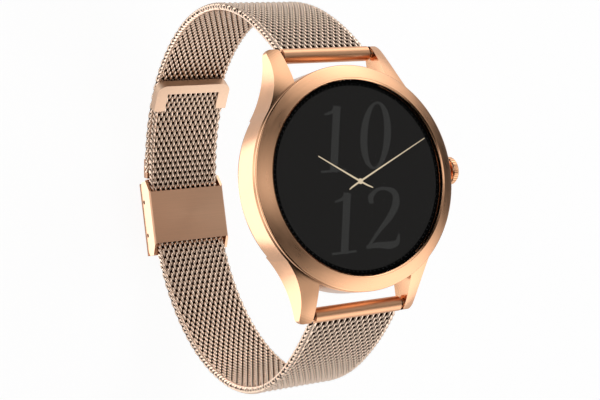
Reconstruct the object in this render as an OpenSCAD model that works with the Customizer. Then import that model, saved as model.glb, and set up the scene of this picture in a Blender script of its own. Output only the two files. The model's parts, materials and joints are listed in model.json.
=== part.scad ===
// Round smartwatch on a woven steel mesh strap with a sliding clasp.
// Millimetres. Origin: centre of the flat case back. +X crown, +Y 12 o'clock, +Z out of the dial.

/* [Case] */
// Outer diameter of the case and of the bezel's foot
case_d = 39.9; // [38.5:0.1:42]
// Height from the case back to the top of the glass
case_t = 9.8; // [9.6:0.1:11]
// Thickness of the case wall round the cavity
case_wall = 2.75; // [2.5:0.05:3]
// Radius of the rounded lower edge of the case
case_edge_r = 1.3; // [0.6:0.1:1.6]
// Height of the case's lower edge over the back
case_foot_z = 0.6; // [0.3:0.1:0.9]

/* [Bezel and glass] */
// Width of the bezel between the cover glass and the case's outer wall
bezel_w = 2.85; // [2.5:0.05:3.5]
// Thickness of the cover glass
glass_t = 1.25; // [1:0.05:1.4]
// Height by which the glass stands over the bezel
glass_proud = 0.08; // [0:0.02:0.3]
// Fall of the bezel's slope
bezel_drop = 1.32; // [1:0.02:1.5]
// Height of the upright lip at the bezel's foot
bezel_lip = 0.45; // [0.3:0.05:0.6]
// Height of the shadow groove under the bezel
groove_h = 0.5; // [0.3:0.02:0.6]
// Depth of the shadow groove
groove_depth = 0.65; // [0.3:0.05:0.8]

/* [Lugs] */
// Gap between the lugs, which sets the strap width
lug_gap = 19; // [17:1:20]
// Thickness of a lug along the crown axis
lug_w = 2.35; // [2.3:0.05:2.9]
// Distance of a spring bar from the case's outer wall
bar_gap = 2.95; // [2.5:0.05:4]
// Height of a spring bar over the case back
bar_z = 2.3; // [2.1:0.1:2.6]
// Reach of a lug past its spring bar
lug_past = 1.3; // [1.2:0.05:1.6]
// Radius of the arched top of the lugs, which is turned round the dial's axis
lug_arch_r = 24; // [20:0.5:30]

/* [Crown] */
// Diameter of the crown
crown_d = 5.1; // [4.8:0.1:5.4]
// Length of the crown
crown_len = 2.15; // [2:0.05:2.8]
// Height of the crown's axis over the case back
crown_z = 5.1; // [4.9:0.1:5.3]
// Travel of the crown when it is pressed
crown_travel = 0.5; // [0.3:0.05:0.55]
// Number of flutes in the crown's coin edge
crown_flutes = 36; // [24:1:44]
// Diameter of the crown's stem
stem_d = 1.6; // [1.4:0.05:1.7]

/* [Strap] */
// Thickness of the woven mesh
mesh_t = 1.5; // [1.3:0.05:1.6]
// Width of the mesh at the clasp
mesh_w_end = 16.4; // [15:0.1:17]
// Diameter of the bar that closes the mesh between the lugs
tube_d = 2.7; // [2.6:0.1:3.1]
// Wrist-side radius of the closed loop
loop_r = 36.4; // [32:0.1:40]
// Distance of the long strap's spring bar outside the loop's middle line
shoulder_out = 1.49; // [1.2:0.01:2]
// Offset of the loop's centre towards 12 o'clock
loop_y = 0.3; // [0:0.1:0.6]
// Radius of the flatter stretch of mesh next to the lugs
shoulder_r = 60; // [50:1:80]
// Angle below the loop's middle at which the tail ends
tail_angle = 42; // [40:1:55]
// Gap between the tail's tip and the short strap
tail_gap = 0.2; // [0.15:0.05:0.6]

/* [Clasp] */
// Length of the wrist plate along the strap
plate_len = 11.4; // [10:0.1:12]
// Length of the clasp's side walls along the strap
wall_len = 16.4; // [15.6:0.1:18]
// Height of the clasp's side walls
clasp_h = 4.3; // [4.2:0.05:4.6]
// Sheet thickness of the wrist plate and the side walls
clasp_sheet = 0.6; // [0.45:0.05:0.7]
// Distance between the two clasp pins
pin_spread = 7.4; // [7:0.1:8]
// Diameter of the clasp pins
pin_d = 0.9; // [0.7:0.05:1]
// Thickness of the clasp's cover and of its lock lever
cover_t = 0.55; // [0.4:0.05:0.6]
// Length of the U-shaped tip of the tail
tip_len = 6.5; // [5:0.1:8]
// Width of the U-shaped tip's bands
tip_band = 2.2; // [1.6:0.1:2.6]

/* [Hidden] */
$fn = 96;

// Finishes
rose = "#d9a27e";
rose_dark = "#b9825f";
steel = "#c9c6c0";
black = "#1b1b1c";

// Clearances: pressed or glued, running, and between bodies that pass each other
seat = 0.02;
run = 0.05;
pass = 0.15;

// Heights over the case back
back_t = 1.3;
glass_seat_z = case_t - glass_t;
bezel_top_z = case_t - glass_proud;
bezel_edge_z = bezel_top_z - bezel_drop;
bezel_foot_z = bezel_edge_z - bezel_lip;
case_top_z = bezel_foot_z - groove_h;
spigot_len = 0.95;
spigot_z = bezel_foot_z - spigot_len;
ledge_t = 0.8;
frame_z = back_t + ledge_t;
panel_t = 1.3;
panel_z = glass_seat_z - panel_t;
board_t = 0.7;
board_z = crown_z + 0.1;

// Radii of the case
case_r = case_d / 2;
cavity_r = case_r - case_wall;
ledge_r = cavity_r - 1.3;
back_r = cavity_r - 0.2;
spigot_gap = 0.1;
spigot_r = case_r - 1.45 - spigot_gap;
glass_r = case_r - bezel_w;
panel_r = glass_r - 0.9;
bezel_in_r = panel_r + 0.25;
edge_break = 0.12;
gasket_r = 0.25;
frame_r = cavity_r - pass;
screw_r = ledge_r - 1.3;
boss_r = 1.5;
boss_top_z = 4.2;
pilot_r = 0.6;
head_r = 1.1;
head_t = 0.6;
window_rim = 9.6;
window_r = back_r - window_rim;
window_t = 0.9;
window_dome = 0.4;
window_step = 0.85;
pad_r = 0.9;
pad_x = 2.3;
pad_rim = 5.5;
pad_y = pad_rim - back_r;
battery_rim = 6.7;
battery_side = 3.05;
battery_r = cavity_r - battery_rim;
battery_x = battery_r + battery_side - frame_r;
motor_r = 3.5;
motor_rim = 6.65;
motor_y = 4.6;
motor_pos = [frame_r - motor_rim, motor_y];

// Crown, measured along +X from the centre of the case
tube_wall = 0.45;
tube_in_r = stem_d / 2 + run;
tube_out_r = tube_in_r + tube_wall;
tube_x0 = cavity_r - 0.4;
tube_x1 = case_r + 0.35;
knob_x = case_r + crown_travel + 0.1;
knob_end_x = knob_x + crown_len;
knob_dome = 0.3;
knob_recess = 0.6;
knob_rim_x = 0.95;
knob_shoulder = 0.6;
clip_w = 0.4;
clip_x = tube_x0 - clip_w - run;
clip_groove_r = stem_d / 2 - 0.15;
stem_x = clip_x - 0.35;
seal_x = (tube_x0 + tube_x1) / 2;
seal_wire = 0.17;
seal_groove_r = tube_in_r - 2 * seal_wire - 0.01;
plunger_len = 0.9;
switch_size = [1.8, 4, 2.8];
switch_x = stem_x - plunger_len - switch_size[0] + 0.1;
flute_r = 0.16;

bar_reach = case_r + bar_gap;

// Lug outline: a hollow flank that leaves the round case and ends square to the lug's tip
flank_sink = 0.06;
lug_out = lug_gap / 2 + lug_w;
lug_tip = bar_reach + lug_past;
flank_case_r = case_r - flank_sink;
flank_r = (lug_tip * lug_tip + lug_out * lug_out - flank_case_r * flank_case_r) / (2 * (flank_case_r - lug_out));
flank_c = [lug_out + flank_r, lug_tip];
tangent = flank_c * flank_case_r / norm(flank_c);
lug_root_r = case_r - 1.1;
lug_under_z = case_foot_z + 0.3;
lug_nose = [bar_reach, lug_under_z + lug_past];
lug_corner = 1;

// The arched top runs from the case's edge to a height over the spring bar's end
ring_break = 0.3;
lug_over = 1.6;
arch_from = [case_r, case_top_z - ring_break - 0.04];
arch_to = [norm([lug_gap / 2, bar_reach]), bar_z + lug_over];
arch_run = arch_to - arch_from;
arch_sink = sqrt(pow(lug_arch_r, 2) - arch_run * arch_run / 4);
arch_c = (arch_from + arch_to) / 2 - arch_sink * [-arch_run[1], arch_run[0]] / norm(arch_run);
arch_end = acos((norm([lug_out, lug_tip]) + edge_break - arch_c[0]) / lug_arch_r);
arch_start = acos((lug_root_r - edge_break - arch_c[0]) / lug_arch_r);

// Spring bars
side_gap = 0.45;
tube_set = 0.2;
mesh_w = lug_gap - 2 * side_gap;
tube_len = mesh_w - 2 * tube_set;
barrel_r = 0.75;
barrel_in_r = 0.47;
tip_r = 0.42;
pivot_r = 0.4;
pivot_len = 1;
collar_r = 0.68;
collar_len = 0.45;
collar_gap = 0.1;
tip_travel = 1;
barrel_end = lug_gap / 2 - collar_gap - collar_len - tip_travel - pass;
tip_in_x = barrel_end - 2.8;
bar_hole_r = pivot_r + run;
bar_hole_depth = pivot_len + 0.25;
mesh_start_r = barrel_r + run + 0.2;
wire_r = 0.08;
coil_turns = 10;
coil_steps = 8;
coil_sides = 6;
coil_len = 2 * (tip_in_x - run - wire_r);
coil_r = tip_r - wire_r;

// Loop of the strap, in the YZ plane
half_t = mesh_t / 2;
loop_drop = sqrt(pow(loop_r + half_t + shoulder_out, 2) - pow(bar_reach + loop_y, 2));
loop_c = [loop_y, bar_z - loop_drop];
short_shift = [-0.8, -1];
short_c = loop_c + short_shift;
short_r = loop_r + mesh_t + tail_gap - short_shift * [cos(tail_angle), -sin(tail_angle)];
strap_steps = 12;
taper_start = 6;
taper_below = 13;
taper_from_z = bar_z - taper_start;
taper_to_z = loop_c[1] - taper_below;
slot_turn = 10;
span = 4 * loop_r;

// Angle between a spring bar and the point where the flat stretch meets the loop
function shoulder_turn(d, r) =
    acos((d * d + pow(r - shoulder_r, 2) - pow(shoulder_r, 2)) / (2 * (r - shoulder_r) * norm(d)));
function dir(a) = [cos(a), sin(a)];
function angle_of(v) = atan2(v[1], v[0]);

upper_bar = [bar_reach, bar_z];
lower_bar = [-bar_reach, bar_z];
upper_mid_r = short_r + half_t;
lower_mid_r = loop_r + half_t;
upper_meet = angle_of(upper_bar - short_c) - shoulder_turn(upper_bar - short_c, upper_mid_r);
lower_meet = angle_of(lower_bar - loop_c) + shoulder_turn(lower_bar - loop_c, lower_mid_r);
upper_flat_c = short_c + (upper_mid_r - shoulder_r) * dir(upper_meet);
lower_flat_c = loop_c + (lower_mid_r - shoulder_r) * dir(lower_meet);
upper_flat_end = angle_of(upper_bar - upper_flat_c);
lower_flat_end = angle_of(lower_bar - lower_flat_c);

// Clasp, at the bottom of the loop
half_plate = plate_len / 2;
plate_z = loop_c[1] - sqrt(pow(loop_r, 2) - pow(half_plate, 2)) + pass;
wrist_z = plate_z + clasp_sheet;
wall_z = wrist_z - clasp_h;
wall_in = mesh_w_end / 2 + pass;
wall_out = wall_in + clasp_sheet;
wall_slope = 1.6;
wall_corner = 0.8;
sheet_bend = 0.3;
pin_sink = 0.2;
pin_r = pin_d / 2;
pin_z = wall_z + 0.75;
lock_y = loop_y + pin_spread / 2;
catch_y = loop_y - pin_spread / 2;
lever_r = pin_z - wall_z;
lever_end_y = catch_y + pin_r + 0.75;
lever_half = wall_in - 0.4;
cam_r = 0.6;
cam_rise = 0.2;
knuckle_r = 0.85;
cover_in_z = wall_z - pass;
cover_out_z = cover_in_z - cover_t;
cover_y = loop_y + wall_len / 2 - 0.3;
cover_pin_z = cover_out_z + knuckle_r;
cover_end_y = loop_y - wall_len / 2;
cover_half = wall_out;
knuckle_half = wall_in - 0.7;
knuckle_split = knuckle_half / 2 + 0.3;
hook_slack = 1.1;
hook_t = 0.5;
hook_catch = 0.35;
hook_y = catch_y - pin_r - hook_slack;
hook_z = pin_z - pin_r + hook_catch;
short_end_y = cover_y + 2.4;
short_end = -acos((short_end_y - short_c[0]) / upper_mid_r);
end_skin = 0.4;
end_grip = 4;
end_half = mesh_w_end / 2 - 0.3;
tip_skin = 0.4;
tip_side = 0.3;
tip_half = mesh_w_end / 2 + pass / 3 + tip_side;
tip_angle = tip_len / loop_r * 180 / PI;
band_angle = tip_band / loop_r * 180 / PI;
skin_angle = tip_side / loop_r * 180 / PI;
tip_corner_r = 2.2;

// Points of an arc, from one angle to another
function arc(c, r, from, to, steps = 8) =
    [for (i = [0 : steps]) c + r * dir(from + (to - from) * i / steps)];

// Turns the XY plane into the YZ plane, with the local Z along X
module along_x(c = [0, 0]) {
    translate([0, c[0], c[1]]) rotate([90, 0, 90]) children();
}

// Places a shape drawn along Z on the crown's axis, starting at x
module on_crown(x) {
    translate([x, 0, crown_z]) rotate([0, 90, 0]) children();
}

// Ring of a given profile height, standing on z
module ring(r_out, r_in, z, h) {
    translate([0, 0, z]) difference() {
        cylinder(h = h, r = r_out);
        translate([0, 0, -h]) cylinder(h = 3 * h, r = r_in);
    }
}

// Bent strip between two angles of a circle in the YZ plane
module strip(c, r_in, t, w, from, to) {
    along_x(c) rotate([0, 0, from]) rotate_extrude(angle = to - from, $fn = 240)
        translate([r_in, -w / 2]) square([t, w]);
}

// Side limits of the mesh, which narrows from the lugs to the clasp
module taper(extra = 0) {
    a = mesh_w / 2 + extra;
    b = mesh_w_end / 2 + extra;
    low = bar_z - span;
    rotate([90, 0, 0]) linear_extrude(span, center = true) polygon([
        [-a, span], [a, span], [a, taper_from_z], [b, taper_to_z], [b, low],
        [-b, low], [-b, taper_to_z], [-a, taper_from_z]
    ]);
}

// Cylinder of a clasp pin or a bar at a point of the YZ plane
module rod(c, r, len) {
    along_x(c) cylinder(h = len, r = r, center = true, $fn = 48);
}

module case_ring() {
    rotate_extrude($fn = 180) polygon(concat(
        [
            [ledge_r, back_t], [back_r + run, back_t], [back_r + run, case_foot_z],
            [case_r - case_edge_r, case_foot_z]
        ],
        arc([case_r - case_edge_r, case_foot_z + case_edge_r], case_edge_r, -90, 0),
        [
            [case_r, case_top_z - ring_break], [case_r - ring_break, case_top_z],
            [case_r - groove_depth, case_top_z], [case_r - groove_depth, bezel_foot_z],
            [spigot_r + spigot_gap, bezel_foot_z], [spigot_r + spigot_gap, spigot_z - spigot_gap],
            [cavity_r, spigot_z - spigot_gap], [cavity_r, frame_z], [ledge_r, frame_z]
        ]
    ));
}

// Turned body under the arched top of the lugs
module lug_arch() {
    far = arch_c + lug_arch_r * dir(arch_end);
    near = arch_c + lug_arch_r * dir(arch_start);
    rotate_extrude($fn = 180) polygon(concat(
        [[0, 0], [far[0], 0]], arc(arch_c, lug_arch_r, arch_end, arch_start, 20), [[0, near[1]]]
    ));
}

// One lug, at +X and +Y
module lug() {
    difference() {
        intersection() {
            linear_extrude(case_t) difference() {
                polygon([
                    tangent * lug_gap / 2 / tangent[0], 1.5 * tangent,
                    [1.5 * tangent[0], lug_tip], [lug_gap / 2, lug_tip]
                ]);
                translate(flank_c) circle(r = flank_r, $fn = 360);
                translate([lug_out - lug_corner, lug_tip - lug_corner]) difference() {
                    square(2 * lug_corner);
                    circle(r = lug_corner, $fn = 64);
                }
            }
            along_x() linear_extrude(case_d) polygon(concat(
                [[0, lug_under_z]], arc(lug_nose, lug_past, -90, 55, 10),
                [[lug_nose[0] + lug_past * cos(55), case_t], [0, case_t]]
            ));
            lug_arch();
        }
        translate([0, 0, -case_t]) cylinder(h = 3 * case_t, r = lug_root_r, $fn = 180);
    }
}

// Boss for one back screw, tied to the ledge
module screw_boss() {
    translate([screw_r, 0, back_t]) cylinder(h = boss_top_z - back_t, r = boss_r, $fn = 48);
    translate([screw_r, -boss_r / 2, back_t])
        cube([cavity_r - screw_r + case_wall / 3, boss_r, boss_top_z - back_t]);
}

module at_screws() {
    for (a = [45 : 90 : 315]) rotate([0, 0, a]) children();
}

module case_middle() {
    color(rose) difference() {
        union() {
            case_ring();
            for (sx = [0, 1], sy = [0, 1]) mirror([sx, 0, 0]) mirror([0, sy, 0]) lug();
            at_screws() screw_boss();
        }
        on_crown(cavity_r / 2) cylinder(h = case_r, r = tube_out_r + seat, $fn = 48);
        for (b = [upper_bar, lower_bar]) rod(b, bar_hole_r, lug_gap + 2 * bar_hole_depth);
        at_screws() translate([screw_r, 0, back_t - boss_r])
            cylinder(h = boss_top_z - back_t, r = pilot_r + seat, $fn = 48);
    }
}

module bezel() {
    groove_in_r = spigot_r - 2 * gasket_r;
    groove_mid_z = (spigot_z + bezel_foot_z) / 2;
    color(rose) rotate_extrude($fn = 180) polygon([
        [glass_r + seat, glass_seat_z], [glass_r + seat, bezel_top_z - edge_break],
        [glass_r + seat + edge_break, bezel_top_z], [case_r - edge_break, bezel_edge_z + edge_break / 2],
        [case_r, bezel_edge_z - edge_break], [case_r, bezel_foot_z + edge_break / 2],
        [case_r - edge_break / 2, bezel_foot_z], [spigot_r, bezel_foot_z],
        [spigot_r, groove_mid_z + gasket_r], [groove_in_r, groove_mid_z + gasket_r],
        [groove_in_r, groove_mid_z - gasket_r], [spigot_r, groove_mid_z - gasket_r],
        [spigot_r, spigot_z], [bezel_in_r, spigot_z], [bezel_in_r, glass_seat_z]
    ]);
}

module bezel_gasket() {
    color(black) translate([0, 0, (spigot_z + bezel_foot_z) / 2]) rotate_extrude($fn = 180)
        translate([spigot_r - gasket_r + spigot_gap / 2, 0]) circle(r = gasket_r - seat, $fn = 32);
}

module cover_glass() {
    color("#202122") rotate_extrude($fn = 180) polygon([
        [0, glass_seat_z], [glass_r, glass_seat_z], [glass_r, case_t - edge_break],
        [glass_r - 2 * edge_break, case_t], [0, case_t]
    ]);
}

module display_panel() {
    color("#101012") translate([0, 0, panel_z]) cylinder(h = panel_t, r = panel_r, $fn = 180);
}

// Flat cable folded down from the panel to the board, with its plug
module display_flex() {
    flex_w = 6;
    flex_t = 0.2;
    flex_rim = 4.2;
    flex_y = flex_rim - panel_r;
    plug = [5, 2.2, 0.8];
    top_z = board_z + board_t;
    color("#b5722f") {
        translate([-flex_w / 2, flex_y - flex_t, top_z + plug[2] / 2])
            cube([flex_w, flex_t, panel_z - top_z - plug[2] / 2]);
        translate([-plug[0] / 2, flex_y, top_z]) cube(plug);
    }
}

module inner_frame() {
    rim_r = frame_r - 0.6;
    color("#2b2c2e") difference() {
        translate([0, 0, frame_z]) cylinder(h = spigot_z - spigot_gap - pass - frame_z, r = frame_r, $fn = 180);
        translate([0, 0, board_z]) cylinder(h = case_t, r = rim_r, $fn = 180);
        translate([battery_x, 0, 0]) cylinder(h = case_t, r = battery_r + run, $fn = 180);
        translate([motor_pos[0], motor_pos[1], 0]) cylinder(h = case_t, r = motor_r + run, $fn = 96);
        translate([switch_x - run, -switch_size[1] / 2 - run, 0])
            cube([case_r, switch_size[1] + 2 * run, case_t]);
        at_screws() translate([screw_r, 0, 0])
            cylinder(h = boss_top_z + pass, r = boss_r + pass, $fn = 48);
        at_screws() translate([screw_r, -boss_r / 2 - pass, 0])
            cube([case_r, boss_r + 2 * pass, boss_top_z + pass]);
    }
}

// Round circuit board with a notch for the crown switch, chips on top
module main_board() {
    chip_t = 0.9;
    board_r = frame_r - 0.6 - pass;
    chip_rim = 4.7;
    edge_chip = chip_rim - board_r;
    chips = [[-6, 3, 7, 6], [2.5, 3.5, 5, 5], [-4, -6, 4, 3], [4.5, -5, 3, 4], [edge_chip, 0, 3, 5]];
    color("#1f5b3a") difference() {
        translate([0, 0, board_z]) cylinder(h = board_t, r = board_r, $fn = 180);
        translate([switch_x - pass, -switch_size[1] / 2 - pass, 0])
            cube([case_r, switch_size[1] + 2 * pass, case_t]);
    }
    color(black) for (c = chips)
        translate([c[0] - c[2] / 2, c[1] - c[3] / 2, board_z + board_t]) cube([c[2], c[3], chip_t]);
}

// Round pouch cell, held up to the board by the frame
module battery() {
    color("#8d9094") translate([battery_x, 0, frame_z + pass])
        cylinder(h = board_z - frame_z - 2 * pass, r = battery_r, $fn = 180);
}

module vibration_motor() {
    color(steel) translate([motor_pos[0], motor_pos[1], frame_z + pass])
        cylinder(h = board_z - frame_z - pass, r = motor_r, $fn = 96);
}

module back_cover() {
    groove_mid_r = (ledge_r + back_r) / 2;
    color(steel) difference() {
        rotate_extrude($fn = 180) polygon([
            [0, 0], [back_r - edge_break, 0], [back_r, edge_break], [back_r, back_t],
            [groove_mid_r + gasket_r, back_t], [groove_mid_r + gasket_r, back_t - 2 * gasket_r],
            [groove_mid_r - gasket_r, back_t - 2 * gasket_r], [groove_mid_r - gasket_r, back_t],
            [0, back_t]
        ]);
        translate([0, 0, -back_t]) cylinder(h = back_t + window_t, r = window_r + seat, $fn = 120);
        translate([0, 0, -back_t]) cylinder(h = 3 * back_t, r = window_r - window_step, $fn = 120);
        for (s = [-1, 1]) translate([s * pad_x, pad_y, -back_t])
            cylinder(h = 3 * back_t, r = pad_r + seat, $fn = 48);
        at_screws() translate([screw_r, 0, -back_t]) cylinder(h = 3 * back_t, r = pilot_r + run, $fn = 48);
        at_screws() translate([screw_r, 0, -back_t])
            cylinder(h = back_t + head_t, r = head_r + run, $fn = 48);
    }
}

module back_gasket() {
    color(black) translate([0, 0, back_t - gasket_r]) rotate_extrude($fn = 180)
        translate([(ledge_r + back_r) / 2, 0]) circle(r = gasket_r - seat, $fn = 32);
}

// Four flat-head screws with a cross slot
module back_screws() {
    slot_w = 0.3;
    slot_depth = 0.3;
    sunk = 0.1;
    color(steel) at_screws() translate([screw_r, 0, sunk]) difference() {
        union() {
            cylinder(h = head_t - sunk, r = head_r, $fn = 48);
            cylinder(h = boss_top_z - back_t - boss_r / 2, r = pilot_r, $fn = 48);
        }
        for (a = [0, 90]) rotate([0, 0, a])
            translate([-slot_w / 2, -head_r + slot_w, -slot_depth])
                cube([slot_w, 2 * (head_r - slot_w), 2 * slot_depth]);
    }
}

// Slightly domed glass over the pulse sensor
module sensor_window() {
    ball_r = (pow(window_r, 2) + pow(window_dome, 2)) / (2 * window_dome);
    color("#26282b") intersection() {
        translate([0, 0, -back_t]) cylinder(h = back_t + window_t, r = window_r, $fn = 120);
        translate([0, 0, ball_r - window_dome]) sphere(r = ball_r, $fn = 360);
    }
}

module sensor_board() {
    sensor_t = 0.6;
    diode = [2, 1.6, 0.5];
    diode_rim = 4.7;
    off = window_r - diode_rim;
    color("#1f5b3a") translate([0, 0, window_t])
        cylinder(h = sensor_t, r = window_r - window_step - run, $fn = 96);
    color(black) for (p = [[-off, 0], [off, 0], [0, off], [0, -off]])
        translate([p[0] - diode[0] / 2, p[1] - diode[1] / 2, window_t + sensor_t]) cube(diode);
}

// Two gilt contacts for the charger
module charge_pads() {
    pad_in = 0.05;
    color("#d8b25a") for (s = [-1, 1]) translate([s * pad_x, pad_y, pad_in])
        cylinder(h = back_t + pad_in, r = pad_r, $fn = 48);
}

module crown_tube() {
    color(steel) on_crown(tube_x0) difference() {
        cylinder(h = tube_x1 - tube_x0, r = tube_out_r, $fn = 48);
        translate([0, 0, -1]) cylinder(h = case_r, r = tube_in_r, $fn = 48);
    }
}

// Push switch with a hole for its plunger
module crown_switch() {
    color(black) difference() {
        translate([switch_x, -switch_size[1] / 2, crown_z - switch_size[2] / 2]) cube(switch_size);
        on_crown(switch_x + switch_size[0] - 1) cylinder(h = 2, r = stem_d / 2 - 0.2 + run, $fn = 48);
    }
}

module switch_plunger() {
    color("#d7d3c8") on_crown(stem_x - plunger_len) cylinder(h = plunger_len - seat, r = stem_d / 2 - 0.2, $fn = 48);
}

// Crown with a round shoulder, a coin edge, a domed end and a recess over its tube
module crown_knob() {
    r = crown_d / 2;
    ball_r = (pow(r, 2) + pow(knob_dome, 2)) / (2 * knob_dome);
    rim = 0.28;
    dome_turn = asin((r - rim) / ball_r);
    dome_c = [0, crown_len - ball_r];
    recess_r = tube_out_r + 0.35;
    color(rose) on_crown(knob_x) difference() {
        rotate_extrude($fn = 96) polygon(concat(
            [
                [0, knob_recess], [recess_r, knob_recess], [recess_r, 0], [r - knob_shoulder, 0]
            ],
            arc([r - knob_shoulder, knob_rim_x], knob_shoulder, -90, 0, 6),
            [[r, crown_len - knob_dome - rim]],
            arc(dome_c, ball_r, 90 - dome_turn, 90, 6)
        ));
        for (i = [0 : crown_flutes - 1]) rotate([0, 0, i * 360 / crown_flutes])
            translate([r + flute_r / 3, 0, knob_rim_x - flute_r]) cylinder(h = crown_len, r = flute_r, $fn = 16);
        translate([0, 0, -1]) cylinder(h = crown_len - knob_dome, r = stem_d / 2 + seat, $fn = 48);
    }
}

module crown_stem() {
    stem_end_x = knob_x + crown_len - knob_dome - 1;
    color(steel) on_crown(0) rotate_extrude($fn = 48) polygon([
        [0, stem_x], [stem_d / 2, stem_x], [stem_d / 2, clip_x], [clip_groove_r, clip_x],
        [clip_groove_r, clip_x + clip_w], [stem_d / 2, clip_x + clip_w],
        [stem_d / 2, seal_x - seal_wire - seat], [seal_groove_r, seal_x - seal_wire - seat],
        [seal_groove_r, seal_x + seal_wire + seat], [stem_d / 2, seal_x + seal_wire + seat],
        [stem_d / 2, stem_end_x], [0, stem_end_x]
    ]);
}

// Spring clip, open at one side, that keeps the stem in its tube
module crown_clip() {
    mouth = 0.8;
    color(steel) on_crown(clip_x + seat) difference() {
        cylinder(h = clip_w - 2 * seat, r = tube_out_r, $fn = 48);
        translate([0, 0, -1]) cylinder(h = 3, r = clip_groove_r + seat, $fn = 48);
        translate([0, -mouth / 2, -1]) cube([3, mouth, 3]);
    }
}

module crown_seal() {
    color(black) on_crown(seal_x) rotate_extrude($fn = 48)
        translate([seal_groove_r + seal_wire, 0]) circle(r = seal_wire - seat / 4, $fn = 24);
}

// Bar that closes the mesh between two lugs, slotted for the end of the mesh
module end_tube(bar, flat_c, from, to) {
    slot_t = mesh_t + 2 * seat;
    color(rose) difference() {
        rod(bar, tube_d / 2, tube_len);
        rod(bar, barrel_r + run, span);
        difference() {
            strip(flat_c, shoulder_r - slot_t / 2, slot_t, span, from, to);
            rod(bar, mesh_start_r, 2 * span);
        }
    }
}

module upper_end_tube() {
    end_tube(upper_bar, upper_flat_c, upper_flat_end - slot_turn, upper_flat_end);
}

module lower_end_tube() {
    end_tube(lower_bar, lower_flat_c, lower_flat_end, lower_flat_end + slot_turn);
}

module bar_barrel(bar) {
    color(steel) difference() {
        rod(bar, barrel_r, 2 * barrel_end);
        rod(bar, barrel_in_r, span);
    }
}

module upper_bar_barrel() {
    bar_barrel(upper_bar);
}

module lower_bar_barrel() {
    bar_barrel(lower_bar);
}

// Sliding tip of a spring bar: stem in the barrel, collar, and pivot in the lug
module bar_tip(bar, side) {
    collar_x = lug_gap / 2 - collar_gap - collar_len;
    color(steel) along_x(bar) mirror([0, 0, side < 0 ? 1 : 0]) rotate_extrude($fn = 48) polygon([
        [0, tip_in_x], [tip_r, tip_in_x], [tip_r, collar_x], [collar_r, collar_x],
        [collar_r, collar_x + collar_len], [pivot_r, collar_x + collar_len],
        [pivot_r, lug_gap / 2 + pivot_len], [0, lug_gap / 2 + pivot_len]
    ]);
}

module upper_tip_left() {
    bar_tip(upper_bar, -1);
}

module upper_tip_right() {
    bar_tip(upper_bar, 1);
}

module lower_tip_left() {
    bar_tip(lower_bar, -1);
}

module lower_tip_right() {
    bar_tip(lower_bar, 1);
}

// Coil spring between the two tips of a bar
module bar_spring(bar) {
    rings = coil_turns * coil_steps;
    function centre(i) = concat(coil_r * dir(i * 360 / coil_steps), (i / rings - 0.5) * coil_len);
    function corner(i, j) = let (out = dir(i * 360 / coil_steps), a = j * 360 / coil_sides)
        centre(i) + wire_r * [out[0] * cos(a), out[1] * cos(a), sin(a)];
    points = [for (i = [0 : rings], j = [0 : coil_sides - 1]) corner(i, j)];
    function at(i, j) = i * coil_sides + j % coil_sides;
    skin = [for (i = [0 : rings - 1], j = [0 : coil_sides - 1], k = [0, 1])
        k == 0 ? [at(i, j), at(i, j + 1), at(i + 1, j)] : [at(i, j + 1), at(i + 1, j + 1), at(i + 1, j)]];
    first = [for (j = [1 : coil_sides - 2]) [at(0, 0), at(0, j + 1), at(0, j)]];
    last = [for (j = [1 : coil_sides - 2]) [at(rings, 0), at(rings, j), at(rings, j + 1)]];
    color(steel) along_x(bar) polyhedron(points, concat(skin, first, last));
}

module upper_bar_spring() {
    bar_spring(upper_bar);
}

module lower_bar_spring() {
    bar_spring(lower_bar);
}

// Points along a strap at a distance from its middle line: a flat stretch, then the loop
function strap_line(flat_c, c, r, flat_end, meet, end, off) = concat(
    arc(flat_c, shoulder_r + off, flat_end, meet, strap_steps),
    arc(c, r + off, meet, end, 4 * strap_steps)
);

// Mesh of a strap, from the tube between the lugs to its other end
module mesh(bar, flat_c, c, r, flat_end, meet, end) {
    inner = strap_line(flat_c, c, r, flat_end, meet, end, seat - half_t);
    outer = strap_line(flat_c, c, r, flat_end, meet, end, half_t);
    last = len(outer) - 1;
    intersection() {
        difference() {
            along_x() linear_extrude(mesh_w, center = true)
                polygon(concat(inner, [for (i = [last : -1 : 0]) outer[i]]));
            rod(bar, mesh_start_r + seat, span);
        }
        taper();
    }
}

module upper_mesh() {
    color(rose_dark)
        mesh(upper_bar, upper_flat_c, short_c, upper_mid_r, upper_flat_end, upper_meet, short_end);
}

// Rounds the two corners of a strip of half width w that ends at an angle of the loop
module tail_corners(end_angle, w, r) {
    depth = 6;
    cross = 0.03;
    along_x(loop_c) rotate([0, 0, end_angle]) for (s = [0, 1]) mirror([0, 0, s])
        translate([loop_r - depth / 2, cross - r, w - r + cross]) rotate([90, 0, 90])
            linear_extrude(depth) difference() {
                square(2 * r);
                circle(r = r, $fn = 64);
            }
}

module lower_mesh() {
    color(rose_dark) difference() {
        mesh(lower_bar, lower_flat_c, loop_c, lower_mid_r, lower_flat_end, lower_meet, 360 - tail_angle);
        tail_corners(-tail_angle, mesh_w_end / 2, tip_corner_r - tip_side);
    }
}

// U-shaped clip over the wrist side, the edges and the end of the tail
module tail_tip() {
    tip_end = -tail_angle + skin_angle;
    deep = tip_skin + mesh_t;
    clear = mesh_w_end + 2 * (tip_half - tip_side - mesh_w_end / 2);
    color(rose) difference() {
        strip(loop_c, loop_r - tip_skin, deep, 2 * tip_half, tip_end - tip_angle, tip_end);
        difference() {
            strip(loop_c, loop_r, 2 * deep, clear, tip_end - 2 * tip_angle, -tail_angle);
            tail_corners(-tail_angle, clear / 2, tip_corner_r - tip_side);
        }
        strip(loop_c, loop_r - deep, 2 * deep, clear - 2 * tip_band, tip_end - 2 * tip_angle,
            tip_end - band_angle);
        tail_corners(tip_end, tip_half, tip_corner_r);
    }
}

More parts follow.
